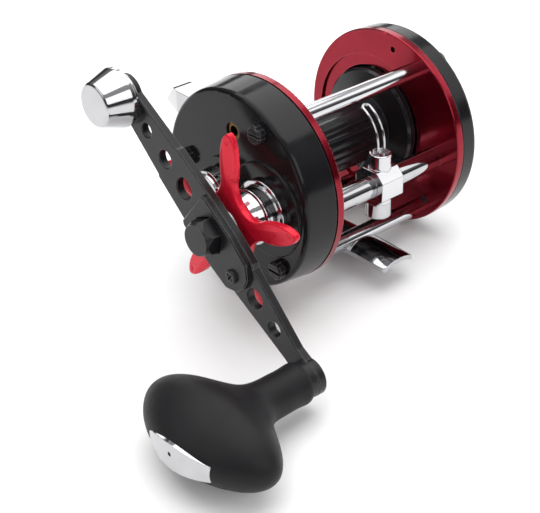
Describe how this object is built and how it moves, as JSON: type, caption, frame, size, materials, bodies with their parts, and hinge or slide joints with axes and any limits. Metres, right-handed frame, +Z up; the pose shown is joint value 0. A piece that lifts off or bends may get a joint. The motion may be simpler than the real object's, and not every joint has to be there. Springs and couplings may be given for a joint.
{
  "type": "round baitcasting fishing reel",
  "caption": "Round level-wind baitcasting fishing reel with star drag, cast control, push-button clutch and a single T-knob handle balanced by a counterweight.",
  "frame": {"origin": "middle of the foot's saddle, on its underside, where the reel sits on a rod", "axes": "+Z up from the saddle, +Y along the rod towards the rear, +X along the spool's axis towards the palm side; the handle is at -X and the line leaves towards -Y"},
  "size_m": [0.1353, 0.1088, 0.0748],
  "materials": {
    "red_anodised": "deep red anodised, glossy",
    "black_cover": "gloss black",
    "satin_black": "satin black",
    "chrome": "polished chrome",
    "satin_chrome": "satin chrome",
    "steel": "machined",
    "spring_steel": "drawn wire",
    "brass": "machined",
    "black_spool": "black anodised",
    "bearing_steel": "ground",
    "fibre": "woven fibre",
    "black_plastic": "moulded",
    "knob_rubber": "soft matte",
    "magnet": "nickel plated"
  },
  "bodies": {
    "frame": {"handle_side_plate": "red_anodised", "palm_side_plate": "red_anodised", "upper_pillars": "satin_chrome", "lower_pillars": "satin_chrome", "pillar_screws": "steel", "reel_foot": "chrome", "foot_rivets": "steel", "handle_side_cover": "black_cover", "palm_side_cover": "black_cover", "handle_cover_thumbscrews": "satin_black", "palm_cover_thumbscrews": "satin_black", "oil_port_bush": "brass", "mechanism_plate": "steel", "mechanism_screws": "steel", "drive_shaft_bush": "brass", "drive_shaft_bearing": "bearing_steel", "one_way_housing": "chrome", "one_way_race": "bearing_steel", "one_way_rollers": "bearing_steel", "yoke_studs": "steel", "yoke_springs": "spring_steel", "spool_bearings": "bearing_steel", "magnet_carrier": "steel", "brake_magnets": "magnet", "level_wind_tube": "chrome", "worm_bushes": "black_plastic"},
    "handle": {"drive_shaft": "steel", "level_wind_drive_gear": "black_plastic", "drive_gear": "brass", "fibre_drag_washers": "fibre", "metal_drag_washer": "steel", "drag_pressure_plate": "steel", "drag_spring_washer": "spring_steel", "drag_sleeve": "steel", "bow_washer": "spring_steel", "handle_arm": "satin_black", "handle_nut": "black_cover", "nut_retainer": "black_cover", "retainer_screw": "satin_black", "counterweight": "chrome", "knob_post": "steel"},
    "star": {"star_drag": "red_anodised"},
    "knob": {"knob_grip": "knob_rubber", "knob_end_plate": "chrome", "knob_bushes": "black_plastic"},
    "cast_cap": {"cast_control_cap": "chrome", "cast_friction_disc": "fibre"},
    "button": {"free_spool_button": "chrome", "clutch_slide": "steel"},
    "yoke": {"clutch_yoke": "brass"},
    "pinion_gear": {"pinion": "brass"},
    "spool_unit": {"spool": "black_spool", "spool_axle": "steel", "clutch_pin": "steel"},
    "worm": {"worm_shaft": "steel", "worm_gear": "black_plastic"},
    "carriage": {"level_wind_carriage": "satin_chrome", "line_guide": "chrome", "pawl_cap": "chrome"},
    "pawl_unit": {"pawl": "brass"}
  },
  "joints": [
    {"name": "handle_turn", "type": "hinge", "parent": "frame", "child": "handle", "pos_m": [-0.03, -0.0128, 0.0236], "axis": [1, 0, 0], "continuous": true},
    {"name": "spool_spin", "type": "hinge", "parent": "frame", "child": "spool_unit", "pos_m": [0, 0.0042, 0.0246], "axis": [1, 0, 0], "continuous": true},
    {"name": "pinion_spin", "type": "hinge", "parent": "yoke", "child": "pinion_gear", "pos_m": [0, 0.0042, 0.0246], "axis": [1, 0, 0], "continuous": true},
    {"name": "worm_spin", "type": "hinge", "parent": "frame", "child": "worm", "pos_m": [0, -0.0204, 0.0217], "axis": [1, 0, 0], "continuous": true},
    {"name": "star_turn", "type": "hinge", "parent": "handle", "child": "star", "pos_m": [-0.03, -0.0128, 0.0236], "axis": [1, 0, 0], "range_deg": [-360, 360]},
    {"name": "knob_spin", "type": "hinge", "parent": "handle", "child": "knob", "pos_m": [-0.09, -0.0493, -0.0039], "axis": [1, 0, 0], "continuous": true},
    {"name": "cast_cap_turn", "type": "hinge", "parent": "frame", "child": "cast_cap", "pos_m": [-0.04, 0.0042, 0.0246], "axis": [1, 0, 0], "range_deg": [-360, 360]},
    {"name": "button_press", "type": "slide", "parent": "frame", "child": "button", "axis": [0, 0, -1], "range_m": [0, 0.004], "stiffness_N_per_m": 120, "springref_m": -0.001},
    {"name": "yoke_slide", "type": "slide", "parent": "frame", "child": "yoke", "axis": [-1, 0, 0], "range_m": [0, 0.0015]},
    {"name": "carriage_slide", "type": "slide", "parent": "frame", "child": "carriage", "axis": [1, 0, 0], "range_m": [-0.0155, 0.0155]},
    {"name": "pawl_swivel", "type": "hinge", "parent": "carriage", "child": "pawl_unit", "pos_m": [0.0006, -0.0204, 0.0147], "axis": [0, 0, 1], "range_deg": [-35, 35]}
  ],
  "couplings": [
    {"joint": "spool_spin", "follows": "handle_turn", "ratio": -6.3},
    {"joint": "pinion_spin", "follows": "handle_turn", "ratio": -6.3},
    {"joint": "worm_spin", "follows": "handle_turn", "ratio": -1.7143},
    {"joint": "yoke_slide", "follows": "button_press", "ratio": 0.375}
  ]
}
